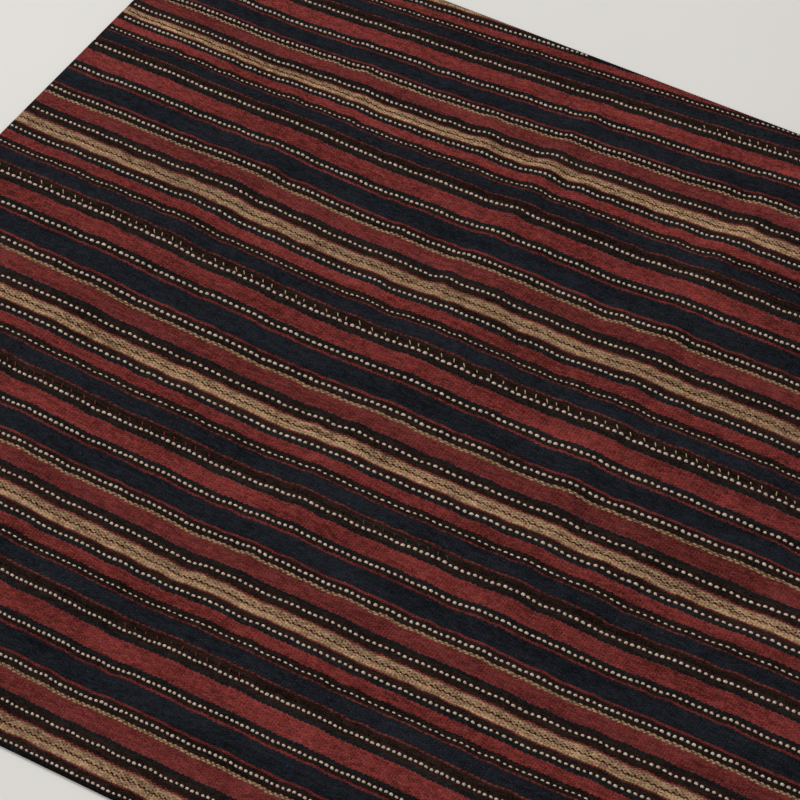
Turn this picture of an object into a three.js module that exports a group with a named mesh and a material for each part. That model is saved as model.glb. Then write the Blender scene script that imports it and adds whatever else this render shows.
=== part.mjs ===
// Kilim: a cut length of warp-faced striped cloth, made of narrow strips sewn edge to edge.
// Millimetres, +Z up. X runs along the stripes, Y runs across them, and the floor is Z = 0.
// The origin is on the floor, under the middle of the cloth.

import * as THREE from "three";

// Driving dimensions
const LENGTH = 994; // along the stripes, between the two cut ends
const WIDTH = 976; // across the stripes, between the two cut sides
const THICKNESS = 2.2; // one layer of tightly beaten wool
const JOIN_GAP = 0.3; // between two strips at their seam
const RIPPLE_LEVEL = 3.1; // how high the cloth lies on average where it has crept up into ripples
const EDGE_FLAT = 16; // this much of the cloth lies flat on the floor along its four sides
const EDGE_FALL = 90; // it has come down to there from full height over this distance from the side

// How finely the solids follow the ripples
const STEPS_ALONG = 64;
const ROW_SPACING = 50;

// The stripes bend a little: their ends lie further back than their middle.
const BOW_RISE = 7.5;
const BOW_MIDDLE_X = 40;

// The far strips also fan out, climbing to the right. The slope grows from FAN_START to FAN_FULL.
const FAN_SLOPE = 0.085;
const FAN_START = 180;
const FAN_FULL = 420;
const FAN_PIVOT_X = -40;
const FAN_REACH = 300; // the climb levels out this far to either side of the pivot

// Each strip of the cloth, from the near side to the far side. near and far are the seams on its two
// sides, measured across the cloth at the pivot. The outer sides of the first and last strip are cut.
const STRIPS = [
  { name: "strip_1", near: null, far: -333, colour: 0x6e2a2a },
  { name: "strip_2", near: -333, far: -139, colour: 0x18212b },
  { name: "strip_3", near: -139, far: 64, colour: 0x7a3230 },
  { name: "strip_4", near: 64, far: 267, colour: 0x6e2a2a },
  { name: "strip_5", near: 267, far: 442, colour: 0x7a3230 },
  { name: "strip_6", near: 442, far: null, colour: 0x18212b },
];

// The ripples. Each one crosses the cloth, and is given at these seven places across it.
// x is where its crest or its lowest line lies, and rise is its height there, below zero for a trough.
// left and right are how far it spreads to either side of that line.
const RIPPLE_Y = [450, 300, 150, 0, -150, -300, -450];
const RIPPLES = [
  {
    name: "left ridge",
    x: [-215, -235, -265, -300, -330, -360, -390],
    rise: [1.0, 1.6, 4.0, 2.3, 3.2, 1.2, 1.0],
    left: 110,
    right: 30,
  },
  {
    name: "low left ridge",
    x: [-300, -300, -300, -300, -275, -215, -190],
    rise: [0, 0, 0, 0, 1.6, 2.4, 1.4],
    left: 55,
    right: 50,
  },
  {
    name: "left hollow",
    x: [-200, -200, -215, -240, -205, -175, -160],
    rise: [-0.4, -0.6, -0.4, -1.3, -1.3, -0.8, -0.4],
    left: 50,
    right: 50,
  },
  {
    name: "deep trough",
    x: [-150, -150, -140, -118, -100, -85, -80],
    rise: [-0.8, -1.3, -4.0, -3.0, -1.4, -1.4, -1.2],
    left: 75,
    right: 55,
  },
  {
    name: "trough at the foot of the step",
    x: [-70, -65, -62, -72, -72, -58, -55],
    rise: [-0.5, -0.9, -1.4, -2.0, -2.3, -2.6, -1.8],
    left: 45,
    right: 30,
  },
  {
    name: "centre ridge",
    x: [-32, -30, -30, -10, -12, -8, -5],
    rise: [2.2, 3.6, 3.4, 2.4, 2.6, 1.8, 1.0],
    left: 24,
    right: 28,
  },
  {
    name: "second centre ridge",
    x: [10, 6, 6, 14, 14, 25, 30],
    rise: [1.0, 0.4, 2.6, 1.8, 1.4, 0.8, 0.5],
    left: 28,
    right: 42,
  },
  {
    name: "middle trough",
    x: [85, 90, 98, 90, 80, 80, 80],
    rise: [-1.0, -1.6, -2.6, 0, 0, 0, 0],
    left: 52,
    right: 26,
  },
  {
    name: "low middle ridge",
    x: [60, 60, 70, 80, 100, 65, 65],
    rise: [0, 0, 0, 1.0, 1.6, 1.2, 0.4],
    left: 60,
    right: 60,
  },
  {
    name: "right ridge",
    x: [160, 163, 168, 178, 195, 205, 210],
    rise: [1.6, 2.8, 3.3, 3.5, 3.2, 0.5, 0],
    left: 46,
    right: 27,
  },
  {
    name: "low right ridge",
    x: [230, 230, 235, 255, 245, 240, 240],
    rise: [0, 0, 0, 1.3, 0.9, 0, 0],
    left: 42,
    right: 42,
  },
  {
    name: "right trough",
    x: [260, 255, 325, 372, 298, 270, 260],
    rise: [-1.2, -1.5, -2.0, -3.3, -2.6, -1.3, -1.0],
    left: 52,
    right: 62,
  },
];

// Goes smoothly from 0 at the start to 1 at the end.
function ease(value, start, end) {
  return THREE.MathUtils.smoothstep(value, start, end);
}

// The value at y of a list that is given at RIPPLE_Y, smooth from one place to the next.
function across(list, y) {
  const spacing = RIPPLE_Y[0] - RIPPLE_Y[1];
  const place = THREE.MathUtils.clamp((RIPPLE_Y[0] - y) / spacing, 0, list.length - 1);
  const i = Math.min(Math.floor(place), list.length - 2);
  return THREE.MathUtils.lerp(list[i], list[i + 1], ease(place - i, 0, 1));
}

// How far the underside lies above the floor. It is exactly zero where the cloth touches.
function undersideZ(x, y) {
  const fromEnd = LENGTH / 2 - Math.abs(x);
  const fromSide = WIDTH / 2 - Math.abs(y);
  const lifted = ease(Math.min(fromEnd, fromSide), EDGE_FLAT, EDGE_FALL);
  let height = RIPPLE_LEVEL;
  for (const ripple of RIPPLES) {
    const offset = x - across(ripple.x, y);
    const reach = offset < 0 ? ripple.left : ripple.right;
    const share = Math.min(Math.abs(offset) / reach, 1);
    height += (across(ripple.rise, y) * (1 + Math.cos(Math.PI * share))) / 2;
  }
  return Math.max(0, height * lifted);
}

// Where a line of the weave at this place across the cloth runs, at x.
function stripeY(place, x) {
  const bow = BOW_RISE * ((x - BOW_MIDDLE_X) / (LENGTH / 2)) ** 2;
  const along = THREE.MathUtils.clamp(x - FAN_PIVOT_X, -FAN_REACH, FAN_REACH);
  return place + bow + FAN_SLOPE * ease(place, FAN_START, FAN_FULL) * along;
}

// One strip, as a closed sheet: a grid of points below, the same grid above, and a rim between.
function stripGeometry({ near, far }) {
  const nearY = (x) => (near === null ? -WIDTH / 2 : stripeY(near, x) + JOIN_GAP / 2);
  const farY = (x) => (far === null ? WIDTH / 2 : stripeY(far, x) - JOIN_GAP / 2);
  const rows = Math.max(1, Math.round((farY(0) - nearY(0)) / ROW_SPACING));
  const perRow = STEPS_ALONG + 1;
  const perSide = perRow * (rows + 1);
  const points = [];
  for (const lift of [0, THICKNESS])
    for (let j = 0; j <= rows; j++)
      for (let i = 0; i <= STEPS_ALONG; i++) {
        const x = LENGTH * (i / STEPS_ALONG - 0.5);
        const y = THREE.MathUtils.lerp(nearY(x), farY(x), j / rows);
        points.push(x, y, undersideZ(x, y) + lift);
      }

  const faces = [];
  const quad = (a, b, c, d) => faces.push(a, b, c, a, c, d);
  const at = (i, j) => j * perRow + i;
  for (let j = 0; j < rows; j++)
    for (let i = 0; i < STEPS_ALONG; i++) {
      quad(at(i, j), at(i, j + 1), at(i + 1, j + 1), at(i + 1, j));
      const [a, b] = [at(i, j) + perSide, at(i + 1, j) + perSide];
      const [c, d] = [at(i + 1, j + 1) + perSide, at(i, j + 1) + perSide];
      quad(a, b, c, d);
    }
  const wall = (a, b) => quad(a, b, b + perSide, a + perSide);
  for (let i = 0; i < STEPS_ALONG; i++) {
    wall(at(i, 0), at(i + 1, 0));
    wall(at(i + 1, rows), at(i, rows));
  }
  for (let j = 0; j < rows; j++) {
    wall(at(STEPS_ALONG, j), at(STEPS_ALONG, j + 1));
    wall(at(0, j + 1), at(0, j));
  }

  const geometry = new THREE.BufferGeometry();
  geometry.setAttribute("position", new THREE.Float32BufferAttribute(points, 3));
  geometry.setIndex(faces);
  geometry.computeVertexNormals();
  return geometry;
}

const kilim = new THREE.Group();
for (const strip of STRIPS) {
  const wool = new THREE.MeshStandardMaterial({
    color: strip.colour,
    roughness: 0.9,
    metalness: 0,
  });
  const mesh = new THREE.Mesh(stripGeometry(strip), wool);
  mesh.name = strip.name;
  kilim.add(mesh);
}

export default kilim;
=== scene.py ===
# %% [markdown]
# # A striped kilim, lying in low ripples
#
# The object is a cut length of kilim: hard-wearing wool cloth, woven in narrow strips on a small loom
# and sewn together edge to edge. The warp, the yarn that runs along the stripes, is packed so close that
# it hides the weft. So every stripe is a group of coloured warps, and every dot is one float of them.
#
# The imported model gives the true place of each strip. This lesson dresses each one with its own cloth:
# the ripples, the ribs of the weft, the toothed edges of the stripes, the dots and the sewing.

# %% Load the frame
import math

import bmesh
import bpy
import numpy as np
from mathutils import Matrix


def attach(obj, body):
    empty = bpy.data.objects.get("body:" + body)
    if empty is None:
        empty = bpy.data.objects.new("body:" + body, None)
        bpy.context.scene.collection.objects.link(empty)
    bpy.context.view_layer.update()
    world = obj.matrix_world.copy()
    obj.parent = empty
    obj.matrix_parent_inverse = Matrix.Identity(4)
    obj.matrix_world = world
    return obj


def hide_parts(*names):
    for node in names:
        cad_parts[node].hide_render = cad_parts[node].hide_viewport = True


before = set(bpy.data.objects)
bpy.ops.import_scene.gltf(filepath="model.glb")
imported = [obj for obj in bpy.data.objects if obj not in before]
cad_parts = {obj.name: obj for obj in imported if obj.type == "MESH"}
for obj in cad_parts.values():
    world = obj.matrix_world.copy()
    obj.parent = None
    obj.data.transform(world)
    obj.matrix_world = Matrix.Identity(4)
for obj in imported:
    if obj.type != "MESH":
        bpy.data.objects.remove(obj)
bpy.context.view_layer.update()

# %% [markdown]
# ## Sizes
#
# Everything below is worked out in millimetres, because that is how a weaver would measure it, and is
# turned to metres only when a mesh is made. The cut length and the ripples are those of the solids, so
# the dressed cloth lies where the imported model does.

# %% Sizes of the cut length and its ripples
MM = 0.001
LENGTH, WIDTH, THICKNESS = 994.0, 976.0, 2.2
JOIN_GAP = 0.3
# Between its ripples the cloth lies at this level, and near its edges it comes down to the floor. The
# lines of the weave bow a little, and the far ones fan out towards the right.
RIPPLE_LEVEL = 3.1
EDGE_FLAT, EDGE_FALL = 16.0, 90.0
BOW_RISE, BOW_MIDDLE_X = 7.5, 40.0
FAN_SLOPE, FAN_START, FAN_FULL = 0.085, 180.0, 420.0
FAN_PIVOT_X, FAN_REACH = -40.0, 300.0

# Each ripple crosses the cloth and is given at these places across it: x of its line, its rise there,
# and how far it spreads to the left and to the right.
RIPPLE_Y = (450, 300, 150, 0, -150, -300, -450)
RIPPLES = {
    "left ridge": (
        (-215, -235, -265, -300, -330, -360, -390), (1.0, 1.6, 4.0, 2.3, 3.2, 1.2, 1.0), 110, 30),
    "low left ridge": (
        (-300, -300, -300, -300, -275, -215, -190), (0, 0, 0, 0, 1.6, 2.4, 1.4), 55, 50),
    "left hollow": (
        (-200, -200, -215, -240, -205, -175, -160), (-0.4, -0.6, -0.4, -1.3, -1.3, -0.8, -0.4), 50, 50),
    "deep trough": (
        (-150, -150, -140, -118, -100, -85, -80), (-0.8, -1.3, -4.0, -3.0, -1.4, -1.4, -1.2), 75, 55),
    "trough at the foot of the step": (
        (-70, -65, -62, -72, -72, -58, -55), (-0.5, -0.9, -1.4, -2.0, -2.3, -2.6, -1.8), 45, 30),
    "centre ridge": (
        (-32, -30, -30, -10, -12, -8, -5), (2.2, 3.6, 3.4, 2.4, 2.6, 1.8, 1.0), 24, 28),
    "second centre ridge": (
        (10, 6, 6, 14, 14, 25, 30), (1.0, 0.4, 2.6, 1.8, 1.4, 0.8, 0.5), 28, 42),
    "middle trough": (
        (85, 90, 98, 90, 80, 80, 80), (-1.0, -1.6, -2.6, 0, 0, 0, 0), 52, 26),
    "low middle ridge": (
        (60, 60, 70, 80, 100, 65, 65), (0, 0, 0, 1.0, 1.6, 1.2, 0.4), 60, 60),
    "right ridge": (
        (160, 163, 168, 178, 195, 205, 210), (1.6, 2.8, 3.3, 3.5, 3.2, 0.5, 0), 46, 27),
    "low right ridge": (
        (230, 230, 235, 255, 245, 240, 240), (0, 0, 0, 1.3, 0.9, 0, 0), 42, 42),
    "right trough": (
        (260, 255, 325, 372, 298, 270, 260), (-1.2, -1.5, -2.0, -3.3, -2.6, -1.3, -1.0), 52, 62),
}
print("%d ripples cross a length of %.0f by %.0f mm" % (len(RIPPLES), LENGTH, WIDTH))

# %% [markdown]
# ## Small creases and puckers
#
# The ripples are what the solids show. On top of them hard wear and the sewing leave small creases, up
# to 2.4 mm deep, that only the dressed cloth has. Each is a short soft trough or ridge: the middle of its
# line, how far it leans, its rise, its spread to the left and right, and its reach across the cloth.
#
# Between them the cloth puckers a little everywhere. A displacement texture could do that too, but the
# dots and the sewing have to lie on the same surface. So the surface is one function of the place, and
# every piece asks it for its height. The puckers are a sum of waves with a fixed seed, so they come out
# the same each time.

# %% Small creases and puckers
CREASES = (
    (-29, 150, -0.05, -2.4, 15, 15, 130),
    (-12, 320, 0.03, -2.0, 22, 20, 90),
    (-75, 160, 0.0, -1.7, 45, 40, 110),
    (135, 350, 0.05, -2.2, 18, 24, 110),
    (78, 150, 0.0, 1.5, 34, 34, 90),
    (-355, 85, 0.0, 1.6, 40, 36, 60),
    (-455, 125, 0.0, -2.2, 40, 30, 50),
    (345, -20, 0.2, 2.2, 24, 34, 90),
    (280, -110, 0.4, -1.8, 28, 20, 110),
    (142, -95, 0.0, 1.5, 40, 16, 80),
    (-50, -160, 0.0, -1.2, 12, 14, 100),
    (-72, -260, 0.0, 0.8, 12, 12, 100),
    (-98, -35, 0.0, 1.3, 30, 26, 45),
    (-188, -50, 0.05, -1.3, 16, 18, 100),
    (-232, -60, -0.1, 1.2, 28, 20, 130),
    (127, 90, 0.0, 1.8, 12, 14, 55),
    (192, 250, 0.05, 1.5, 26, 26, 110),
    (8, -262, 0.0, -1.4, 32, 34, 40),
    (-98, 325, 0.0, 1.8, 26, 22, 45),
    (-298, 45, 0.1, -1.2, 14, 12, 40),
)

# Rise of the puckers and stray of the lines of the weave, with the shortest and longest of their waves
# along the stripes and across them.
PUCKER_RISE, PUCKER_ALONG, PUCKER_ACROSS = 0.30, (13, 48), (22, 90)
WANDER, WANDER_ALONG, WANDER_ACROSS = 0.28, (24, 95), (70, 220)
WANDER_SEED, PUCKER_SEED = 11, 12


def ease(value, start, end):
    """Goes smoothly from 0 at the start to 1 at the end."""
    share = np.clip((value - start) / (end - start), 0, 1)
    return share * share * (3 - 2 * share)


def hump(offset, left, right):
    """1 in the middle, and smoothly down to 0 at left and right."""
    share = np.minimum(np.abs(offset) / np.where(offset < 0, left, right), 1)
    return (1 + np.cos(np.pi * share)) / 2


def across(values, y):
    """The value at y of a row that is given at RIPPLE_Y."""
    values = np.asarray(values, float)
    place = np.clip((RIPPLE_Y[0] - y) / (RIPPLE_Y[0] - RIPPLE_Y[1]), 0, len(values) - 1)
    i = np.minimum(place.astype(int), len(values) - 2)
    return values[i] + (values[i + 1] - values[i]) * ease(place - i, 0, 1)


def waves(x, y, seed, along, across_mm, count=20):
    """Uneven waves of about unit height, with wavelengths between the given pairs in mm."""
    chance = np.random.default_rng(seed)
    total = 0
    for _ in range(count):
        turns = x / chance.uniform(*along) + chance.choice((-1, 1)) * y / chance.uniform(*across_mm)
        total = total + np.sin(2 * np.pi * (turns + chance.uniform()))
    return total / math.sqrt(count / 2)


def underside_z(x, y):
    """How far the underside of the cloth lies above the floor."""
    height = RIPPLE_LEVEL + PUCKER_RISE * waves(x, y, PUCKER_SEED, PUCKER_ALONG, PUCKER_ACROSS)
    for line, rise, left, right in RIPPLES.values():
        height = height + across(rise, y) * hump(x - across(line, y), left, right)
    for middle_x, middle_y, lean, rise, left, right, reach in CREASES:
        line = middle_x + lean * (y - middle_y)
        height = height + rise * hump(x - line, left, right) * hump(y - middle_y, reach, reach)
    from_side = np.minimum(LENGTH / 2 - np.abs(x), WIDTH / 2 - np.abs(y))
    return np.maximum(0, height * ease(from_side, EDGE_FLAT, EDGE_FALL))


def stripe_y(place, x):
    """Where the line of the weave at this place across the cloth runs, at x."""
    bow = BOW_RISE * ((x - BOW_MIDDLE_X) / (LENGTH / 2)) ** 2
    along = np.clip(x - FAN_PIVOT_X, -FAN_REACH, FAN_REACH)
    smooth = place + bow + FAN_SLOPE * ease(place, FAN_START, FAN_FULL) * along
    return smooth + WANDER * waves(x, place, WANDER_SEED, WANDER_ALONG, WANDER_ACROSS)


grid_x, grid_y = np.meshgrid(np.linspace(-490, 490, 197), np.linspace(-480, 480, 193))
print("the cloth rises %.1f mm above the floor" % underside_z(grid_x, grid_y).max())

# %% [markdown]
# ## The stripes
#
# One repeat of stripes fills one strip. A weaver would chart it as a list of yarns and widths, and so is
# it here. The strips are hand-woven, so no two have their stripes at quite the same places: each strip
# has its own list of where its five rows of dots, its gold chain and its row of small dots lie, and the
# other stripes share out the room between them. Rows also drift a few millimetres along a strip, which is
# given for its left, middle and right. The spacing of the picks differs from strip to strip too.
#
# The stripes could be painted on one plane with a colour ramp. A chart is closer to how the cloth is
# made, and it lets the mesh have an edge just where two yarns meet.

# %% Chart of the stripes
# From the far seam to the near one: yarn, width in mm, and how much its near edge is toothed, with a
# minus where the teeth start the other way.
CHART = (
    ("brown", 11.0, 0),
    ("dark_navy", 3.5, 1),
    ("red", 19.3, -1),
    ("dark_navy", 3.5, 0.5),
    ("black", 8.4, 1.2),
    ("line_red", 2.9, 1.3),
    ("navy", 22.3, -0.4),
    ("line_red", 2.9, -0.5),
    ("black", 11.8, 0.8),
    ("gold", 3.5, 0.8),
    ("deep_red", 18.2, 1),
    ("dark_navy", 3.4, 0.5),
    ("brown", 14.0, 1),
    ("line_red", 1.4, -0.8),
    ("rose", 1.0, 0.4),
    ("tan", 6.7, 0),
    ("pale_tan", 6.0, 0.4),
    ("rose", 0.8, 0.6),
    ("line_red", 1.1, -0.6),
    ("brown", 8.4, 0.3),
    ("dark_navy", 4.0, 1),
    ("red", 12.1, -1),
    ("black", 10.2, 0.4),
    ("thin_red", 1.9, -0.5),
    ("navy", 16.0, 0.5),
    ("thin_red", 2.1, -0.4),
    ("brown", 5.4, 0),
)

# Each strip was warped from other hanks, and no two dye baths are alike. Where a yarn of one strip is
# lighter than the same yarn elsewhere its number is over 1, and where it is darker it is under 1.
HANKS = {
    ("strip_3", "red"): 0.93,
    ("strip_3", "deep_red"): 0.91,
    ("strip_3", "tan"): 1.05,
    ("strip_3", "pale_tan"): 1.05,
    ("strip_4", "deep_red"): 1.04,
    ("strip_4", "tan"): 0.93,
    ("strip_4", "pale_tan"): 0.93,
    ("strip_5", "red"): 1.12,
    ("strip_5", "deep_red"): 1.08,
    ("strip_5", "tan"): 1.12,
    ("strip_5", "pale_tan"): 1.12,
}

# Where the marks lie in the chart: first, second and third dots, gold chain, fourth and fifth dots, and
# small dots.
CHART_MARKS = (5.5, 40.5, 79.3, 87.4, 117.3, 148.2, 172.3)
CHART_WIDTH = sum(width for _, width, _ in CHART)

# far and near are the places of the seams across the cloth, pitch is two picks, and marks are measured
# from the far seam. All are in mm.
STRIPS = {
    "strip_1": dict(far=-333, near=-536, pitch=4.9, marks=(5.5, 43.5, 80.0, 88.0, 117.0, 150.0, 174.0)),
    "strip_2": dict(far=-139, near=-333, pitch=5.57, marks=(5.5, 38.5, 73.7, 81.0, 108.8, 140.7, 164.5)),
    "strip_3": dict(far=64, near=-139, pitch=6.25, marks=(5.5, 40.3, 79.8, 88.6, 117.0, 149.7, 173.3)),
    "strip_4": dict(far=267, near=64, pitch=5.32, marks=(5.5, 42.5, 80.1, 88.5, 116.3, 150.3, 174.9)),
    "strip_5": dict(far=442, near=267, pitch=5.02, marks=(5.6, 36.0, 65.5, 72.4, 99.4, 127.0, 147.5)),
    "strip_6": dict(far=625, near=442, pitch=5.0, marks=(5.5, 38.0, 72.0, 80.0, 107.0, 136.0, 154.0)),
}
CUT_NEAR, CUT_FAR = "strip_1", "strip_6"

# How far the seams and the marked rows drift at the left, in the middle and at the right. Left and right
# are at DRIFT_X, and the drift goes on a little beyond it.
DRIFT_X, DRIFT_END = 400.0, 1.15
SEAM_DRIFT = {
    442: (1.5, 1.5, 1.0),
    267: (0.0, -1.5, 1.0),
    64: (2.0, -0.5, 1.5),
    -139: (1.5, 0.0, 1.5),
    -333: (0.5, 0.0, -0.5),
}
NO_DRIFT = (0.0, 0.0, 0.0)
ROW_DRIFT = {
    "strip_2": (
        (1.5, 0, 1.5), (1, 0.5, 0), (2, 0, -1.5), (2, 0, -1.5), (2.5, 0, -1), (1, 0, -1), (1, 0, -1)),
    "strip_3": (
        (2, -0.5, 1.5), (2.5, -0.5, -4), (3, -0.5, 4), (3, -0.5, 3.5), (-0.5, -1, -1), (1, 0.5, 0),
        (1.5, 0, -0.5)),
    "strip_4": (
        (0, -1.5, 1), (-3, 0.5, 5.5), (-4, 0, 5.5), (-4, 0, 5), (-2, 0, 5), (0, 1, 3.5), (2, -0.5, 0)),
    "strip_5": (
        (1.5, 1.5, 1), (-1.5, -1.5, -1.5), (-3.5, -4.5, -6), (-3.5, -4.5, -6), (-2, -2, -2), (1, -2, -4),
        (-1, -3, -4)),
}


def place_of(name, chart_mm, x):
    """Where a place in the chart lies across the cloth, at each x of this strip."""
    strip = STRIPS[name]
    charted = (0, *CHART_MARKS, CHART_WIDTH)
    woven = (0, *strip["marks"], strip["far"] - strip["near"])
    far_drift = SEAM_DRIFT.get(strip["far"], NO_DRIFT)
    near_drift = SEAM_DRIFT.get(strip["near"], NO_DRIFT)
    drift = np.array([far_drift, *ROW_DRIFT.get(name, [NO_DRIFT] * len(CHART_MARKS)), near_drift])
    left, middle, right = (np.interp(chart_mm, charted, column) for column in drift.T)
    t = np.clip(x / DRIFT_X, -DRIFT_END, DRIFT_END)
    strayed = middle + (right - left) / 2 * t + ((right + left) / 2 - middle) * t * t
    return strip["far"] - np.interp(chart_mm, charted, woven) + strayed


print("one repeat is %.0f mm of %d stripes" % (CHART_WIDTH, len(CHART)))

# %% [markdown]
# ## Colour and node helpers
#
# Colours are written as sRGB hex, as a colour picker shows them, and turned to Blender's linear values in
# one place. One small function adds any node with its settings and its inputs, so that a material reads as
# a list of what it is made of.

# %% Helpers for materials
def linear(hex_colour):
    """sRGB hex to linear RGBA."""
    parts = [int(hex_colour[i : i + 2], 16) / 255 for i in (1, 3, 5)]
    return [c / 12.92 if c <= 0.04045 else ((c + 0.055) / 1.055) ** 2.4 for c in parts] + [1.0]


def add(tree, kind, settings, inputs, out=0):
    """Adds a node and returns one of its outputs. An input is a value or another node's output."""
    made = tree.nodes.new("ShaderNode" + kind)
    for name, value in settings.items():
        setattr(made, name, value)
    for socket, value in inputs.items():
        if isinstance(value, bpy.types.NodeSocket):
            tree.links.new(value, made.inputs[socket])
        else:
            made.inputs[socket].default_value = value
    return made.outputs[out] if len(made.outputs) else made


def empty_material(name):
    """A material with no nodes yet, and its node tree."""
    made = bpy.data.materials.new(name)
    made.use_nodes = True
    made.node_tree.nodes.clear()
    return made, made.node_tree


print("madder red in linear light:", [round(c, 3) for c in linear("#7b3430")])

# %% [markdown]
# ## Wool
#
# The yarn is hand-spun sheep's wool, dyed in the hank and tightly plied. Wool is a rough, matt fibre:
# its IOR is about 1.54, but the loose scales and the twist scatter nearly all of the light, so the
# highlight is kept very low.
#
# A float is the little oval of one warp that shows between two dives under the weft. It is two picks
# from one float to the next along a warp, and the warps beside it dive where it rises, so floats lie
# like bricks. A float is 5 to 6 mm long and 1.7 mm wide, too small to model one by one in the plain
# stripes. So each cloth vertex carries its pick number and its warp number, and the material draws the
# floats from those, as bumps and as painted shade between them. They follow every ripple, as no pattern
# fixed in space would.

# %% The floats
WARP_SPACING = 1.7


def weave_floats(tree):
    """Pick and warp numbers, the height of the floats from 0 to 1, and a random number for each."""
    weave = add(tree, "Attribute", {"attribute_name": "weave"}, {}, "Vector")
    # The yarn wanders a little, so that the floats aren't ruled lines. The noise is about 8 mm wide.
    wander = add(tree, "TexNoise", {}, {"Vector": weave, "Scale": 0.35, "Detail": 1.0}, "Color")
    shift = add(tree, "VectorMath", {"operation": "MULTIPLY_ADD"},
                {0: wander, 1: (0.6, 0.9, 0), 2: (-0.3, -0.45, 0)})
    moved = add(tree, "VectorMath", {"operation": "ADD"}, {0: weave, 1: shift})
    pick = add(tree, "SeparateXYZ", {}, {0: moved}, "X")
    warp = add(tree, "SeparateXYZ", {}, {0: moved}, "Y")
    row = add(tree, "Math", {"operation": "FLOOR"}, {0: warp})
    both = add(tree, "Math", {"operation": "ADD"}, {0: pick, 1: row})
    along = add(tree, "Math", {"operation": "MULTIPLY"}, {0: both, 1: 0.5})
    float_number = add(tree, "Math", {"operation": "FLOOR"}, {0: along})
    # Each float rises and falls as half a sine along the warp and across it.
    half_turn = add(tree, "Math", {"operation": "PINGPONG"}, {0: along, 1: 0.5})
    length_rise = add(tree, "MapRange", {"interpolation_type": "SMOOTHSTEP"},
                      {0: half_turn, 1: 0.0, 2: 0.34})
    edge = add(tree, "Math", {"operation": "PINGPONG"}, {0: warp, 1: 0.5})
    width_rise = add(tree, "MapRange", {"interpolation_type": "SMOOTHSTEP"}, {0: edge, 1: -0.1, 2: 0.4})
    height = add(tree, "Math", {"operation": "MULTIPLY"}, {0: length_rise, 1: width_rise})
    number = add(tree, "CombineXYZ", {}, {0: float_number, 1: row})
    chance = add(tree, "TexWhiteNoise", {"noise_dimensions": "3D"}, {"Vector": number}, "Value")
    return weave, height, chance


# %% [markdown]
# Every colour is uneven in five ways: from float to float, in fibre-fine specks, in streaks along a few
# warps, in thicker wefts here and there, and in broad cloudy patches where the dye took better. Each is a
# noise stretched to its own shape, and is weighed below. Upright lines where each weft lifts the warps are
# painted too: painted light on each rib and painted shade in the dip beside it. Their scales are cells for
# each pick, about 2.8 mm, and for each warp, 1.7 mm.
#
# Deep between the floats the wool is painted darker, as painted shade of the weave. Plain stripes are
# beaten so close that the wefts' lines, with their painted light and shade, show more than the floats,
# and in the thin lines and the tan the floats show. Single fibres took the dye differently, so the hue is
# speckled too, and each face says how light its hank is.

# %% The wool material
WOOL_IOR, WOOL_ROUGHNESS = 1.54, 0.95
FLOAT_WEIGHT, FIBRE_WEIGHT, STREAK_WEIGHT, WEFT_WEIGHT, CLOUD_WEIGHT = 0.7, 3.6, 0.8, 1.1, 1.4
TONE_LEVEL, TONE_DEPTH, BRIGHTEST = 0.76, 0.55, 2.0
WEFT_BEND = 1.6
FLECK_FROM, FLECK_FULL = 0.67, 0.77
FIBRE_SHARE_OF_RELIEF = 0.6
WOOL_RELIEF = 0.45


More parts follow.
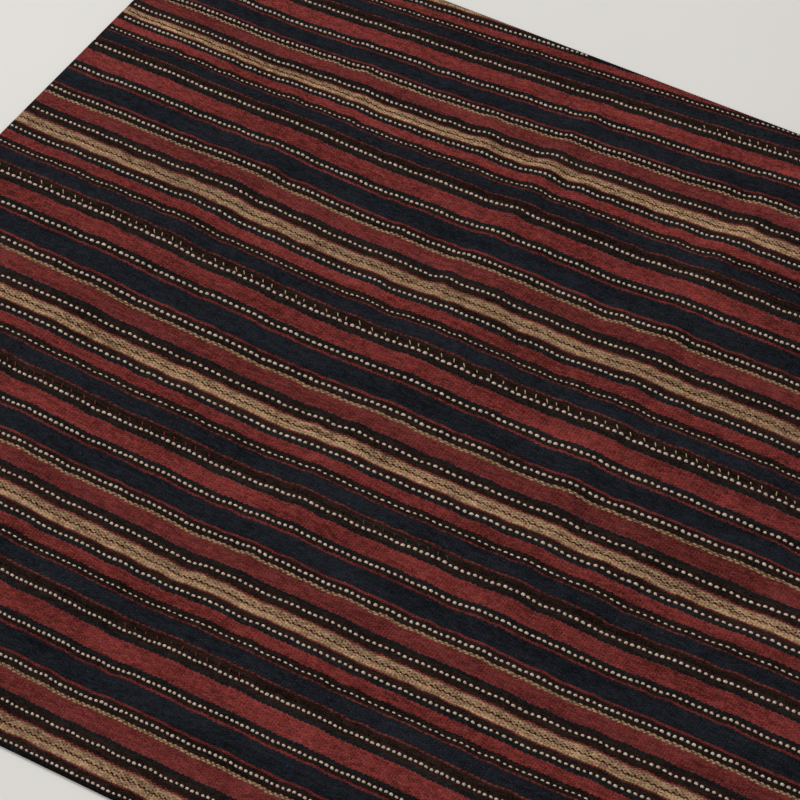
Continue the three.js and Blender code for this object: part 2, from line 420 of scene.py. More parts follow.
def wool(name, colour, shade, float_shade=0.3, rib_shade=0.18, dye=1.5, patchy=1.0, fleck=None):
    """Wool in the weave. Its four numbers in turn weigh the painted shade between floats, the painted
    light and shade of the ribs, hues and clouds.
    """
    made, tree = empty_material(name)
    weave, height, chance = weave_floats(tree)
    streak_at = add(tree, "Mapping", {}, {"Vector": weave, "Scale": (0.045, 0.6, 1.0)})
    streak = add(tree, "TexNoise", {}, {"Vector": streak_at, "Scale": 1.0, "Detail": 3.0})
    cloud_at = add(tree, "Mapping", {},
                   {"Vector": weave, "Scale": (0.022, 0.06, 1.0), "Location": (9, 4, 0)})
    cloud = add(tree, "TexNoise", {}, {"Vector": cloud_at, "Scale": 1.0, "Detail": 2.0})
    weft_at = add(tree, "Mapping", {},
                  {"Vector": weave, "Scale": (1.7, 0.17, 1.0), "Location": (3, 2, 0)})
    weft = add(tree, "TexNoise", {}, {"Vector": weft_at, "Scale": 1.0, "Detail": 2.0})
    # A weft lies under every whole pick, and its line bends a little on the way across the cloth.
    bend_at = add(tree, "Mapping", {}, {"Vector": weave, "Scale": (0.12, 0.3, 1.0)})
    bend = add(tree, "TexNoise", {}, {"Vector": bend_at, "Scale": 1.0, "Detail": 1.0})
    pick = add(tree, "SeparateXYZ", {}, {0: weave}, "X")
    bent = add(tree, "Math", {"operation": "MULTIPLY_ADD"}, {0: bend, 1: WEFT_BEND, 2: pick})
    from_weft = add(tree, "Math", {"operation": "PINGPONG"}, {0: bent, 1: 0.5})
    # Painted light and shade of the ribs: lighter on each whole pick, darker in the dip beside it.
    line = add(tree, "MapRange", {"interpolation_type": "SMOOTHSTEP"}, {0: from_weft, 1: 0.5, 2: 0.0})
    fibre = add(tree, "TexNoise", {}, {"Vector": weave, "Scale": 1.7, "Detail": 4.0, "Roughness": 0.78})
    parts = (
        (chance, FLOAT_WEIGHT), (fibre, FIBRE_WEIGHT), (streak, STREAK_WEIGHT), (weft, WEFT_WEIGHT),
        (line, rib_shade), (cloud, CLOUD_WEIGHT * patchy))
    tone = TONE_LEVEL - TONE_DEPTH * float_shade
    for part, weight in parts:
        centred = add(tree, "Math", {"operation": "SUBTRACT"}, {0: part, 1: 0.5})
        tone = add(tree, "Math", {"operation": "MULTIPLY_ADD"}, {0: centred, 1: weight, 2: tone})
    # Painted shade: each float is lighter where it rises and darker deep between the floats.
    mixed = add(tree, "Math", {"operation": "MULTIPLY_ADD"}, {0: height, 1: float_shade, 2: tone})
    bounded = add(tree, "Math", {"operation": "MINIMUM"}, {0: mixed, 1: BRIGHTEST})
    share = add(tree, "Math", {"operation": "MAXIMUM"}, {0: bounded, 1: 0.0})
    colours = add(tree, "Mix", {"data_type": "RGBA", "clamp_factor": False},
                  {0: share, 6: linear(shade), 7: linear(colour)}, 2)
    hues = add(tree, "TexNoise", {},
               {"Vector": weave, "Scale": 1.6, "Detail": 3.0, "Roughness": 0.7}, "Color")
    tints = add(tree, "VectorMath", {"operation": "MULTIPLY_ADD"},
                {0: hues, 1: (2 * dye, 2 * dye, 2 * dye), 2: (1 - dye, 1 - dye, 1 - dye)})
    colours = add(tree, "VectorMath", {"operation": "MULTIPLY"}, {0: colours, 1: tints})
    if fleck:
        fleck_at = add(tree, "Mapping", {}, {"Vector": weave, "Scale": (0.5, 1.1, 1.0)})
        specks = add(tree, "TexNoise", {}, {"Vector": fleck_at, "Scale": 1.0, "Detail": 2.0})
        rare = add(tree, "MapRange", {"interpolation_type": "SMOOTHSTEP"},
                   {0: specks, 1: FLECK_FROM, 2: FLECK_FULL})
        colours = add(tree, "Mix", {"data_type": "RGBA"}, {0: rare, 6: colours, 7: linear(fleck)}, 2)
    hank = add(tree, "Attribute", {"attribute_name": "hank"}, {}, "Fac")
    colours = add(tree, "VectorMath", {"operation": "SCALE"}, {0: colours, "Scale": hank})
    surface = add(tree, "Math", {"operation": "MULTIPLY_ADD"},
                  {0: fibre, 1: FIBRE_SHARE_OF_RELIEF, 2: height})
    bump = add(tree, "Bump", {}, {"Height": surface, "Strength": 1.0, "Distance": WOOL_RELIEF * MM})
    shader = add(tree, "BsdfPrincipled", {}, {
        "Base Color": colours, "Normal": bump, "Roughness": WOOL_ROUGHNESS, "IOR": WOOL_IOR,
        "Specular IOR Level": 0.03})
    add(tree, "OutputMaterial", {}, {"Surface": shader})
    return made


# %% [markdown]
# ## The yarns
#
# The reds are madder, the navy is indigo over grey wool, and the browns, the black and the tans are
# undyed sheep's colours. Each gets the colour of its lit floats, the darker colour that is painted deep
# between them as painted shade and that its uneven tone reaches, and the few numbers by which it differs
# from the plain red.

# %% The yarns
WOOLS = {
    "red": wool("madder_red_wool", "#7b3430", "#401612", fleck="#92543d"),
    "deep_red": wool("deep_madder_red_wool", "#71312e", "#3b1513", fleck="#854237"),
    "line_red": wool("fine_line_red_wool", "#6e2f2c", "#301211", 0.8, fleck="#9a5f4a"),
    "thin_red": wool("thin_line_red_wool", "#5e2a25", "#2a110f", 0.8, fleck="#8a4a34"),
    "rose": wool("red_and_tan_plied_wool", "#905e4c", "#4a2219", 0.6),
    "gold": wool("gold_wool", "#6c5139", "#2a1d15", 0.9),
    "navy": wool("indigo_navy_wool", "#1f2127", "#0c0d10", 0.15, 0.15, 1.8, fleck="#2a4046"),
    "dark_navy": wool("dark_indigo_wool", "#1e1f20", "#0b0c0d", 0.3, 0.15, 1.8, fleck="#203c39"),
    "brown": wool("undyed_brown_black_wool", "#2b1e19", "#100907", 0.4, 0.15, 1.6),
    "black": wool("undyed_black_wool", "#281c18", "#0e0807", 0.4, 0.15, 1.6),
    "tan": wool("undyed_tan_wool", "#a18263", "#453022", 0.5, 0.15, 0.9, 0.6),
    "pale_tan": wool("paler_tan_wool", "#ae8d6a", "#4c3526", 0.45, 0.25, 0.9, 0.6),
}
print("wools:", [m.name for m in WOOLS.values()])

# %% [markdown]
# ## The cloth of a strip
#
# Each strip is one closed sheet with real thickness. A plane with a solidify modifier could be that, but
# its ribs and stripes would be painted. Here the top is a grid that follows the weave: two columns for
# every pick, one on the rib of the weft and one in the dip beside it, and a row at every edge between two
# stripes. Where two colours meet, warps of one colour rise over every other pick, so the edge is toothed.
# The grid has points at exactly those places, so the teeth are cut into the faces themselves.

# %% Grid lines of a strip
# Sizes in mm. Teeth and beats are uneven by shares, and COARSE columns of the top are one underneath.
RIB_DEPTH = 0.5
TOOTH, TOOTH_UNEVEN = 0.66, (0.5, 1.3)
BEAT_UNEVEN = 0.06
LARGEST_ROW, SMALLEST_ROW = 4.2, 0.3
SEAM_ROLL, SEAM_ROLL_WIDTH = 0.7, 1.6
SEAM_ROWS = (0.8, 2.2)
COARSE = 4
# Each strip starts this much further in the noises of its wools, so that no two are alike.
WARPS_APART, NOISE_APART = 10.0, 3.0
TEETH_SEED = 500


def pick_lines(name, seed):
    """x of each column of the grid: rib, dip, rib, dip, with the picks beaten a little unevenly."""
    chance = np.random.default_rng(seed)
    count = int(round(LENGTH / STRIPS[name]["pitch"])) * COARSE
    steps = 1 + BEAT_UNEVEN * chance.standard_normal(count).clip(-2, 2)
    ends = np.concatenate([[0], np.cumsum(steps)])
    return LENGTH * (ends / ends[-1] - 0.5)


def chart_rows():
    """Each row: place in the chart, tooth, yarn on its near side, if it is an edge, and warp number."""
    rows, place, warp = [], 0.0, 0
    for index, (yarn, width, _) in enumerate(CHART):
        tooth = CHART[index - 1][2] if index else 0
        inner = [] if index else list(SEAM_ROWS)
        if index == len(CHART) - 1:
            inner = [width - mm for mm in reversed(SEAM_ROWS)]
        parts = max(1, math.ceil(width / LARGEST_ROW))
        inner += [width * k / parts for k in range(1, parts)]
        inner = [mm for mm in sorted(inner) if SMALLEST_ROW < mm < width - SMALLEST_ROW]
        # A stripe is a whole number of warps, so that its floats end at its edges.
        warps = max(1, round(width / WARP_SPACING))
        rows.append((place, tooth, yarn, True, warp))
        rows += [(place + mm, 0, yarn, False, warp + warps * mm / width) for mm in inner]
        place += width
        warp += warps
    rows.append((place, 0, CHART[-1][0], True, warp))
    return rows


ROWS = chart_rows()
YARNS = list(WOOLS)
print("each strip has %d rows" % len(ROWS))

# %% [markdown]
# The sewing draws the edges of two strips down into a small groove, so the top rolls down over the last
# few millimetres at each seam. A warp-faced cloth has the same stripes on its back, so the underside has
# a row at each edge of a stripe too, with a column for every fourth one of the top.

# %% Points of a strip
def limits(name, x):
    """y of the near and far side of a strip, with the gap at its seams left free."""
    near = np.full(x.shape, -WIDTH / 2)
    far = np.full(x.shape, WIDTH / 2)
    if name != CUT_NEAR:
        near = stripe_y(place_of(name, CHART_WIDTH, x), x) + JOIN_GAP / 2
    if name != CUT_FAR:
        far = stripe_y(place_of(name, 0, x), x) - JOIN_GAP / 2
    return near, far


def top_grid(name, columns, seed):
    """Points on top of the cloth, from the far row to the near one, and their pick and warp numbers."""
    chance = np.random.default_rng(TEETH_SEED + seed)
    near, far = limits(name, columns)
    order = np.arange(len(columns))
    # Teeth point one way at one rib and the other way at the next.
    teeth = np.where(order % 2 == 0, np.where(order % 4 == 0, 1.0, -1.0), 0.0)
    points, weave = [], []
    for chart_mm, tooth, _, _, warp in ROWS:
        cut = tooth * TOOTH * teeth * chance.uniform(*TOOTH_UNEVEN, len(columns))
        y = np.clip(stripe_y(place_of(name, chart_mm, columns) + cut, columns), near, far)
        roll = np.zeros(len(columns))
        if name != CUT_NEAR:
            roll += np.exp(-(y - near) / SEAM_ROLL_WIDTH)
        if name != CUT_FAR:
            roll += np.exp(-(far - y) / SEAM_ROLL_WIDTH)
        z = underside_z(columns, y) + THICKNESS - RIB_DEPTH * (order % 2) - SEAM_ROLL * roll
        points.append(np.stack([columns, y, z], 1))
        warps = np.full(len(columns), WARPS_APART * seed + warp)
        weave.append(np.stack([order / 2, warps, np.full(len(columns), NOISE_APART * seed)], 1))
    return np.array(points), np.array(weave)


def under_grid(name, columns):
    """Points underneath, with a row at each edge of a stripe."""
    near, far = limits(name, columns)
    edges = [row[0] for row in ROWS if row[3]]
    rows = [np.clip(stripe_y(place_of(name, mm, columns), columns), near, far) for mm in edges]
    return np.array([np.stack([columns, y, underside_z(columns, y)], 1) for y in rows])


def quads(rows, columns, first=0):
    """Faces between the rows of a grid whose points start at this number, seen from above."""
    j, i = np.meshgrid(np.arange(rows - 1), np.arange(columns - 1), indexing="ij")
    a = first + j * columns + i
    return np.stack([a, a + columns, a + columns + 1, a + 1], -1).reshape(-1, 4)


near, far = limits("strip_3", np.zeros(1))
print("strip_3 is %.0f mm wide in the middle" % (far - near)[0])

# %% [markdown]
# Meshes are made from lists of points and faces, without modifiers, so that each mesh is just what is
# built. At a cut side some rows run out of the cloth and fall on its edge. There the points are welded.

# %% Build a mesh
def mesh_object(name, points, faces, materials, slots=None):
    """A smooth-shaded mesh object from points in mm."""
    mesh = bpy.data.meshes.new(name)
    mesh.from_pydata((np.asarray(points) * MM).tolist(), [], faces)
    for material in materials:
        mesh.materials.append(material)
    if slots is not None:
        mesh.polygons.foreach_set("material_index", np.asarray(slots, np.int32))
    mesh.polygons.foreach_set("use_smooth", np.ones(len(mesh.polygons), bool))
    made = bpy.data.objects.new(name, mesh)
    bpy.context.scene.collection.objects.link(made)
    return made


def weld(made, within=0.004):
    """Joins points that fall together, as rows do that run out of the cloth at a cut side."""
    work = bmesh.new()
    work.from_mesh(made.data)
    bmesh.ops.remove_doubles(work, verts=work.verts, dist=within * MM)
    bmesh.ops.dissolve_degenerate(work, edges=work.edges, dist=within * MM)
    work.to_mesh(made.data)
    work.free()


# %% [markdown]
# The rim closes the sheet between its top and its underside. At the ends it shows each stripe's own
# yarn, as a cut end does. Along a side, four short edges of the top meet one of the underside.

# %% The rim
def rim_faces(rows, count, base):
    """Faces that join the top to the underside, and the yarn slot of each."""
    under_count = (count - 1) // COARSE + 1
    edge_rows = [j for j, row in enumerate(ROWS) if row[3]]
    faces, slots = [], []
    far, near = 0, (rows - 1) * count
    under_far, under_near = base, base + (len(edge_rows) - 1) * under_count
    for k in range(under_count - 1):
        steps = [k * COARSE + i for i in range(COARSE + 1)]
        faces.append([far + i for i in steps] + [under_far + k + 1, under_far + k])
        faces.append([near + i for i in reversed(steps)] + [under_near + k, under_near + k + 1])
        slots += [YARNS.index(CHART[0][0]), YARNS.index(CHART[-1][0])]
    for k, (first, last) in enumerate(zip(edge_rows, edge_rows[1:])):
        left = [j * count for j in range(first, last + 1)]
        right = [j * count + count - 1 for j in range(first, last + 1)]
        under_left = base + k * under_count
        under_right = under_left + under_count - 1
        faces.append(left[::-1] + [under_left, under_left + under_count])
        faces.append(right + [under_right + under_count, under_right])
        slots += [YARNS.index(CHART[k][0])] * 2
    return faces, slots


# %% [markdown]
# Now the six strips are built. Each face gets the yarn of its stripe and the lightness of its hank, and
# each point its place in the weave.

# %% Build the cloth of each strip
def cloth_of(name, seed):
    """The closed cloth of a strip, and the x of its columns."""
    columns = pick_lines(name, seed)
    top, weave = top_grid(name, columns, seed)
    under = under_grid(name, columns[::COARSE])
    rows, count = len(top), len(columns)
    under_rows, under_count = under.shape[:2]
    base = rows * count
    faces = quads(rows, count).tolist()
    slots = np.repeat([YARNS.index(row[2]) for row in ROWS[:-1]], count - 1).tolist()
    faces += quads(under_rows, under_count, base)[:, ::-1].tolist()
    slots += np.repeat([YARNS.index(yarn) for yarn, _, _ in CHART], under_count - 1).tolist()
    rim, rim_slots = rim_faces(rows, count, base)
    points = np.concatenate([top.reshape(-1, 3), under.reshape(-1, 3)])
    slots += rim_slots
    made = mesh_object(name + "_cloth", points, faces + rim, WOOLS.values(), slots)
    hank = made.data.attributes.new("hank", "FLOAT", "FACE")
    strengths = [HANKS.get((name, yarn), 1.0) for yarn in YARNS]
    hank.data.foreach_set("value", np.array(strengths, np.float32)[slots])
    edges = [j for j, row in enumerate(ROWS) if row[3]]
    under_weave = weave[edges][:, ::COARSE]
    numbers = np.concatenate([weave.reshape(-1, 3), under_weave.reshape(-1, 3)])
    layer = made.data.attributes.new("weave", "FLOAT_VECTOR", "POINT")
    layer.data.foreach_set("vector", numbers.astype(np.float32).ravel())
    if name in (CUT_NEAR, CUT_FAR):
        weld(made)
    return made, columns


cloths, pick_columns = {}, {}
for seed, name in enumerate(STRIPS):
    cloths[name], pick_columns[name] = cloth_of(name, seed)
    print(name, "cloth has", len(cloths[name].data.polygons), "faces")

# %% [markdown]
# ## White dots
#
# A dot is a float of two or three white warps side by side. On the other picks they are under the cloth,
# so there is a dot at every second pick. The floats are full, soft and a little uneven, and they catch
# the light, so each one is a small dome that sits on the cloth. Copies of one object could be scattered
# along curves, but there are thousands. So all the dots of a strip are one joined mesh: one outline is
# repeated by arrays, and each copy gets its own size, slant and height.

# %% Domes that lie on the cloth
# Each ring of a dome: its share of the outline, and of the rise. The lowest is sunk into the cloth.
DOME_SIDES = 8
DOME_RINGS = ((1.0, -0.15), (0.76, 0.70))
EDGE_MARGIN, SEAM_MARGIN = 2.6, 0.7
STRAY_ALONG, STRAY_ACROSS, STRAY_SLANT = 0.12, 0.16, 0.13


def dome_points(x, y, length, width, height, slant):
    """Points of a low dome for each x, y on the cloth. All are in mm."""
    turn = np.arange(DOME_SIDES) * 2 * np.pi / DOME_SIDES
    rings = [(share * np.cos(turn), share * np.sin(turn), rise + 0 * turn) for share, rise in DOME_RINGS]
    rings.append((np.zeros(1), np.zeros(1), np.ones(1)))
    out_x, out_y, rise = (np.concatenate(part) for part in zip(*rings))
    px = x[:, None] + out_x * length[:, None] / 2 - slant[:, None] * out_y * width[:, None] / 2
    py = y[:, None] + out_y * width[:, None] / 2
    pz = underside_z(px, py) + THICKNESS - RIB_DEPTH / 2 + rise * height[:, None]
    return np.stack([px, py, pz], -1)


def dome_faces(count):
    """Faces of that many domes."""
    ring = np.arange(DOME_SIDES)
    after = (ring + 1) % DOME_SIDES
    wall = np.stack([ring, after, DOME_SIDES + after, DOME_SIDES + ring], 1)
    top = np.full(DOME_SIDES, 2 * DOME_SIDES)
    cap = np.stack([DOME_SIDES + ring, DOME_SIDES + after, top], 1)
    per_dome = 2 * DOME_SIDES + 1
    starts = (np.arange(count) * per_dome)[:, None, None]
    return (wall[None] + starts).reshape(-1, 4).tolist() + (cap[None] + starts).reshape(-1, 3).tolist()


def float_row(name, chance, chart_mm, phase, share, width, height, lean=0.06, uneven=0.10):
    """One row of floats along a strip, on every second rib from the phase, which is 0 or 1."""
    x = pick_columns[name][2 * phase :: 4]
    y = stripe_y(place_of(name, chart_mm, x), x)
    near, far = limits(name, x)
    room = width * SEAM_MARGIN
    inside = (np.abs(x) < LENGTH / 2 - EDGE_MARGIN) & (y > near + room) & (y < far - room)
    x, y = x[inside], y[inside]
    shake = chance.standard_normal((6, len(x))).clip(-2, 2)
    length = share * STRIPS[name]["pitch"] * (1 + uneven * shake[0])
    return dome_points(
        x + STRAY_ALONG * shake[1], y + STRAY_ACROSS * shake[2], length, width * (1 + uneven * shake[3]),
        height * (1 + 1.5 * uneven * shake[4]), lean + STRAY_SLANT * shake[5])


def float_piece(name, rows, material):
    """Joins rows of floats into one object."""
    domes = np.concatenate(rows)
    return mesh_object(name, domes.reshape(-1, 3), dome_faces(len(domes)), [material])


print("each dome has", len(dome_faces(1)), "faces")

# %% [markdown]
# The white is undyed wool, so it is a warm cream rather than a clean white, and no two floats are quite
# alike. These yarns stand up from the cloth, so they need no drawn floats: a slow noise changes them from
# dot to dot, a fine one gives the fibre, and the twist shows as slanting lines about 0.5 mm apart.

# %% Material of the floats
TWIST_MM, TWIST_RELIEF, TWIST_SLANT = 0.5, 0.2, 35
# Cells of noise in a mm. The slow noise changes in about the length of a dot.
SLOW_PER_MM, FIBRE_PER_MM = 0.16, 1.4


def float_wool(name, colour, shade):
    """Plied yarn seen close: slanting twist, and a little change of colour from float to float."""
    made, tree = empty_material(name)
    at = add(tree, "TexCoord", {}, {}, "Object")
    slow = add(tree, "TexNoise", {}, {"Vector": at, "Scale": SLOW_PER_MM / MM, "Detail": 1.0})
    fine = add(tree, "TexNoise", {}, {"Vector": at, "Scale": FIBRE_PER_MM / MM, "Detail": 3.0})
    turned = add(tree, "Mapping", {}, {"Vector": at, "Rotation": (0, 0, math.radians(TWIST_SLANT))})
    # A wave texture has one band in pi / 10 of its scaled space.
    twist = add(tree, "TexWave", {"bands_direction": "Y"},
                {"Vector": turned, "Scale": math.pi / 10 / (TWIST_MM * MM), "Distortion": 2.0})
    speck = add(tree, "Math", {"operation": "MULTIPLY"}, {0: fine, 1: 0.5})
    mixed = add(tree, "Math", {"operation": "MULTIPLY_ADD"}, {0: slow, 1: 0.9, 2: speck})
    share = add(tree, "MapRange", {}, {0: mixed, 1: 0.35, 2: 0.95})
    tint = add(tree, "Mix", {"data_type": "RGBA"}, {0: share, 6: linear(shade), 7: linear(colour)}, 2)
    bump = add(tree, "Bump", {}, {"Height": twist, "Strength": 0.6, "Distance": TWIST_RELIEF * MM})
    shader = add(tree, "BsdfPrincipled", {}, {
        "Base Color": tint, "Normal": bump, "Roughness": WOOL_ROUGHNESS, "IOR": WOOL_IOR,
        "Specular IOR Level": 0.05})
    add(tree, "OutputMaterial", {}, {"Surface": shader})
    return made


white_wool = float_wool("undyed_white_wool", "#e0cebc", "#a5917e")
gold_float_wool = float_wool("gold_float_wool", "#bf9f7c", "#8a6d50")
dark_float_wool = float_wool("brown_black_float_wool", "#211610", "#120b08")
red_float_wool = float_wool("madder_float_wool", "#6e2e27", "#4e201b")
print("float wools:", white_wool.name, gold_float_wool.name)

# %% [markdown]
# There are five rows of large dots and one of small ones. Neighbouring rows start on different ribs, and
# a strip that was beaten closer has finer dots.

# %% Rows of white dots
# Chart mark, which rib they start on, share of the pitch that they are long, width and rise in mm.
DOT_ROWS = (
    (0, 0, 0.64, 3.0, 1.0),
    (1, 0, 0.64, 3.0, 1.0),
    (2, 1, 0.64, 3.0, 1.0),
    (4, 0, 0.62, 2.7, 0.9),
    (5, 1, 0.62, 2.7, 0.9),
    (6, 0, 0.56, 1.8, 0.55),
)
PATTERN_PITCH = STRIPS["strip_3"]["pitch"]
DOTS_SEED = 100

# The pieces that are woven in or sewn on each strip.
carried = {name: [] for name in STRIPS}
for seed, (name, strip) in enumerate(STRIPS.items()):
    chance = np.random.default_rng(DOTS_SEED + seed)
    finer = (strip["pitch"] / PATTERN_PITCH) ** 0.5
    rows = [
        float_row(name, chance, CHART_MARKS[mark], phase, share, width * finer, rise)
        for mark, phase, share, width, rise in DOT_ROWS
    ]
    carried[name].append(float_piece(name + "_white_dots", rows, white_wool))
    print(name, "has", len(np.concatenate(rows)), "white dots")

# %% [markdown]
# ## Gold chain and centre line
#
# Two gold warps lie side by side, and each rises where the other dives, so together they look like a
# small chain. A material alone would leave it flat beside the dots, so it is built from slanted domes. In
# the middle of the tan stripe a dark warp and a red one do the same, as a broken line.
#
# Above it the dark wool peeps out between the tan floats, in two rows of specks: many in one strip and
# hardly any in the next. The last strip is cut before its gold chain, so it has none.

# %% Gold chain, broken centre line and specks
GOLD_CHAIN_AT, CENTRE_LINE_AT = CHART_MARKS[3], 133.7
CHAIN_SEED = 200
# Place in the chart, which rib they start on, share of the pitch that they are long, width and rise in
# mm, lean, and how uneven they are.
GOLD_ROWS = (
    (GOLD_CHAIN_AT - 0.9, 0, 0.58, 1.6, 0.6, 0.9, 0.2),
    (GOLD_CHAIN_AT + 0.9, 1, 0.58, 1.6, 0.6, -0.5, 0.2),
)
DARK_ROW = (CENTRE_LINE_AT - 0.5, 0, 0.56, 1.9, 0.6, 0.3, 0.16)
RED_ROW = (CENTRE_LINE_AT + 0.4, 1, 0.62, 1.7, 0.5, 0.3, 0.16)
SPECK_ROWS = (
    (CENTRE_LINE_AT - 4.2, 0, 0.27, 1.2, 0.35, 0.5, 0.25),
    (CENTRE_LINE_AT - 2.6, 1, 0.27, 1.2, 0.35, 0.5, 0.25),
)
# How many of the specks show in each strip, of all that could.
SPECK_SHARE = {
    "strip_1": 0.4, "strip_2": 0.5, "strip_3": 0.8, "strip_4": 0.25, "strip_5": 0.4, "strip_6": 0.4}
for seed, name in enumerate(STRIPS):
    chance = np.random.default_rng(CHAIN_SEED + seed)
    rows = [float_row(name, chance, *row) for row in GOLD_ROWS]
    if len(np.concatenate(rows)):
        carried[name].append(float_piece(name + "_gold_chain", rows, gold_float_wool))
    dark = float_row(name, chance, *DARK_ROW)
    red = float_row(name, chance, *RED_ROW)
    specks = [float_row(name, chance, *row) for row in SPECK_ROWS]
    kept = [row[chance.random(len(row)) < SPECK_SHARE[name]] for row in specks]
    carried[name].append(float_piece(name + "_centre_line_dark", [dark, *kept], dark_float_wool))
    carried[name].append(float_piece(name + "_centre_line_red", [red], red_float_wool))
print("pieces woven in:", {name: len(pieces) for name, pieces in carried.items()})

# %% [markdown]
# ## Sewing
#
# The strips are joined by whip stitches: the thread comes up on one side, crosses the seam aslant and
# goes down on the other. Most of the thread is brown and hardly shows. One seam has cream thread all
# along, and others change to red or blue-green where the sewer took up another yarn. Each stitch is a
# short arch of thread. A curve with a round bevel would do for one, but some hundreds are lighter as one
# mesh for each thread, and each arch can be thin at its ends, where it goes into the cloth.

# %% Whip stitches
# Strip on the near side of the seam, thread, and the stretch of x that it is used on.
SEWING = (
    ("strip_3", "cream", -497, 497),
    ("strip_4", "brown", -497, 497),
    ("strip_5", "brown", -497, 60),
    ("strip_5", "cream", 60, 497),
    ("strip_2", "brown", -497, -335),
    ("strip_2", "red", -335, -105),
    ("strip_2", "brown", -105, 40),
    ("strip_2", "teal", 40, 130),
    ("strip_2", "brown", 130, 497),
    ("strip_1", "brown", -497, -70),
    ("strip_1", "red", -70, 60),
    ("strip_1", "brown", 60, 497),
)
THREADS = {
    "cream": float_wool("cream_sewing_wool", "#c9b28c", "#97805c"),
    "brown": float_wool("brown_sewing_wool", "#2e2019", "#1a110c"),
    "red": float_wool("red_sewing_wool", "#84352c", "#5c241e"),
    "teal": float_wool("blue_green_sewing_wool", "#33555c", "#22393f"),
}
# Sizes in mm, with the least and the most of a stitch's shares.
STITCH_SPACING, STITCH_REACH, STITCH_LEAN = 10.8, 2.0, 0.62
STITCH_RISE, STITCH_SINK = (0.45, 0.85), 0.45
REACH_UNEVEN, LEAN_UNEVEN, SPACING_UNEVEN = (0.6, 1.2), (0.6, 1.5), (0.75, 1.3)
THREAD_RADIUS, THREAD_TAPER, THREAD_SIDES, THREAD_STEPS = 0.58, 0.45, 6, 7
END_MARGIN = 4.0
SEWING_SEED = 300


def thread_tube(path):
    """Points and faces of a thread along one path of points in mm."""
    ahead = np.gradient(path, axis=0)
    ahead /= np.linalg.norm(ahead, axis=1)[:, None]
    side = np.cross(ahead, (0, 0, 1.0))
    side /= np.linalg.norm(side, axis=1)[:, None]
    up = np.cross(side, ahead)
    turn = np.arange(THREAD_SIDES) * 2 * np.pi / THREAD_SIDES
    ring = side[:, None] * np.cos(turn)[None, :, None] + up[:, None] * np.sin(turn)[None, :, None]
    thick = THREAD_RADIUS * (1 - THREAD_TAPER * np.linspace(-1, 1, len(path)) ** 2)
    points = (path[:, None] + thick[:, None, None] * ring).reshape(-1, 3)
    faces = []
    for j in range(len(path) - 1):
        for i in range(THREAD_SIDES):
            a = j * THREAD_SIDES + i
            b = j * THREAD_SIDES + (i + 1) % THREAD_SIDES
            faces.append([a, b, b + THREAD_SIDES, a + THREAD_SIDES])
    last = (len(path) - 1) * THREAD_SIDES
    faces.append(list(range(THREAD_SIDES))[::-1])
    faces.append([last + i for i in range(THREAD_SIDES)])
    return points, faces


def stitch_path(name, x, reach, lean, rise):
    """An arch of thread over the seam on a strip's far side, with both ends in the cloth."""
    share = np.linspace(-1, 1, THREAD_STEPS)
    px = x - lean * reach * share
    py = stripe_y(place_of(name, 0, px), px) + reach * share
    pz = underside_z(px, py) + THICKNESS + rise * (1 - share**2) - STITCH_SINK
    return np.stack([px, py, pz], 1)


def sewing_piece(piece_name, name, thread, first_x, last_x, chance):
    """The stitches of one thread along the seam on a strip's far side."""
    x = max(first_x, -LENGTH / 2 + END_MARGIN) + chance.uniform(0, STITCH_SPACING)
    points, faces, start = [], [], 0
    while x < min(last_x, LENGTH / 2 - END_MARGIN):
        reach = STITCH_REACH * chance.uniform(*REACH_UNEVEN)
        lean = STITCH_LEAN * chance.uniform(*LEAN_UNEVEN)
        tube, sides = thread_tube(stitch_path(name, x, reach, lean, chance.uniform(*STITCH_RISE)))
        points.append(tube)
        faces += [[start + k for k in face] for face in sides]
        start += len(tube)
        x += STITCH_SPACING * chance.uniform(*SPACING_UNEVEN)
    return mesh_object(piece_name, np.concatenate(points), faces, [THREADS[thread]])


for index, (name, thread, first_x, last_x) in enumerate(SEWING):
    chance = np.random.default_rng(SEWING_SEED + index)
    piece_name = "%s_%s_sewing_%d" % (name, thread, index)
    carried[name].append(sewing_piece(piece_name, name, thread, first_x, last_x, chance))
print("threads sewn:", len(SEWING))

# %% [markdown]
# ## Floor, light and camera
#
# A plain pale floor and soft studio light, so that the colours of the wool are what shows. The camera
# is a long lens from high up: 46 degrees above the floor and turned 31 degrees from the stripes. Its
# focal length comes from how little the stripes close up towards the far side.

# %% Floor
# The floor lies a hair below the cloth, so that the two don't flicker where they touch.
FLOOR_HALF, FLOOR_DROP = 4000.0, 0.3
MOTTLE_PER_METRE = 3.0

floor_material, tree = empty_material("pale_matt_floor")
mottle_at = add(tree, "TexCoord", {}, {}, "Object")
mottle = add(tree, "TexNoise", {}, {"Vector": mottle_at, "Scale": MOTTLE_PER_METRE, "Detail": 4.0})
tint = add(tree, "Mix", {"data_type": "RGBA"}, {0: mottle, 6: linear("#dcd9d4"), 7: linear("#e4e1dc")}, 2)
shader = add(tree, "BsdfPrincipled", {}, {"Base Color": tint, "Roughness": 0.7, "Specular IOR Level": 0.2})
add(tree, "OutputMaterial", {}, {"Surface": shader})

sides = ((-1, -1), (1, -1), (1, 1), (-1, 1))
corners = [(FLOOR_HALF * side_x, FLOOR_HALF * side_y, -FLOOR_DROP) for side_x, side_y in sides]
floor = mesh_object("floor", corners, [[0, 1, 2, 3]], [floor_material])
print("the floor lies %.1f mm below the cloth" % FLOOR_DROP)

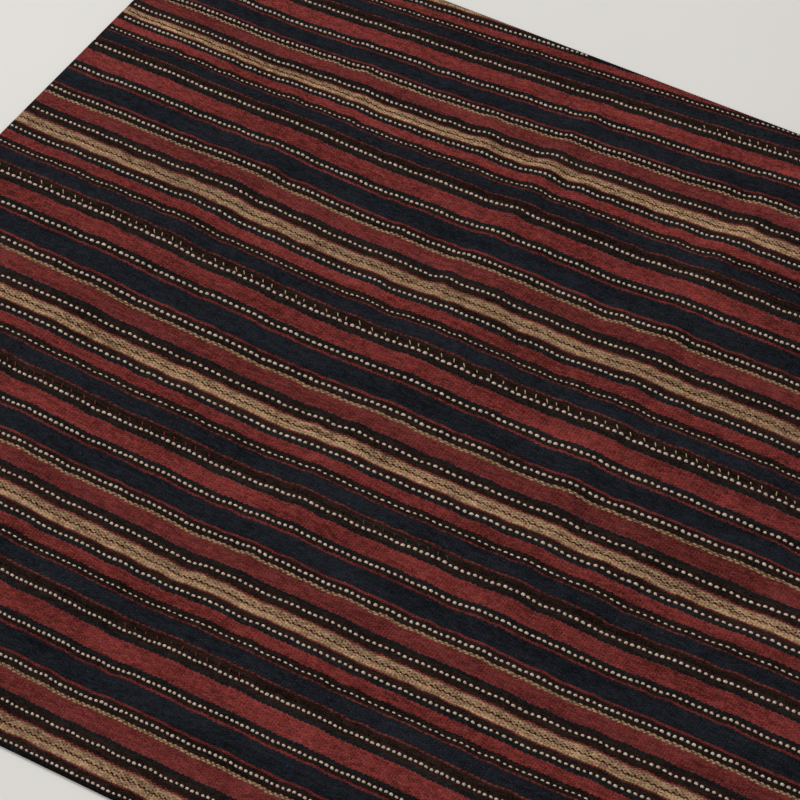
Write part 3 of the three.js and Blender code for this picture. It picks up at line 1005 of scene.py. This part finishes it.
# %% Camera
AZIMUTH, ELEVATION = math.radians(30.58), math.radians(45.8)
DISTANCE, LENS, SENSOR = 3234 * MM, 168.3, 36.0
AIM_HEIGHT = 4.7 * MM
level = math.cos(ELEVATION)
back = (math.sin(AZIMUTH) * level, -math.cos(AZIMUTH) * level, math.sin(ELEVATION))
lens = bpy.data.cameras.new("camera")
lens.lens = LENS
lens.sensor_width = SENSOR
camera = bpy.data.objects.new("camera", lens)
camera.location = [DISTANCE * b for b in back]
camera.location.z += AIM_HEIGHT
camera.rotation_euler = (math.pi / 2 - ELEVATION, 0, AZIMUTH)
bpy.context.scene.collection.objects.link(camera)
bpy.context.scene.camera = camera
print("camera at", [round(c, 3) for c in camera.location])

# %% [markdown]
# The light is soft and comes from the left, far side. The weaker light from the near side keeps the dark
# stripes from closing up, and the rest comes evenly from all round. The Standard view keeps the colours
# as they were written.

# %% Light
WORLD_COLOUR, WORLD_STRENGTH = (0.985, 0.99, 1.0, 1.0), 0.40


def area_light(name, place, size, power):
    """A soft square light that points at the middle of the cloth."""
    lamp = bpy.data.lights.new(name, "AREA")
    lamp.size = size
    lamp.energy = power
    made = bpy.data.objects.new(name, lamp)
    made.location = place
    made.rotation_euler = (-made.location).to_track_quat("-Z", "Y").to_euler()
    bpy.context.scene.collection.objects.link(made)


area_light("key_light", (-4.4, 2.4, 3.6), 2.2, 243)
area_light("fill_light", (0.3, -2.6, 2.8), 2.4, 36)
world = bpy.data.worlds.new("soft_room")
world.use_nodes = True
world.node_tree.nodes["Background"].inputs["Color"].default_value = WORLD_COLOUR
world.node_tree.nodes["Background"].inputs["Strength"].default_value = WORLD_STRENGTH
bpy.context.scene.world = world
bpy.context.scene.view_settings.view_transform = "Standard"

# %% [markdown]
# ## Hand the pieces to the frame
#
# Each cloth stands for its solid, which is hidden, and rides on the one body. Everything woven in or sewn
# on rides with it.

# %% Bodies
BODY, SLOT = "root", "wool"
for name, cloth in cloths.items():
    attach(cloth, BODY)
    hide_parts(name)
    for piece in carried[name]:
        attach(piece, BODY)
    x = np.linspace(-LENGTH / 2, LENGTH / 2, 200)
    near, far = limits(name, x)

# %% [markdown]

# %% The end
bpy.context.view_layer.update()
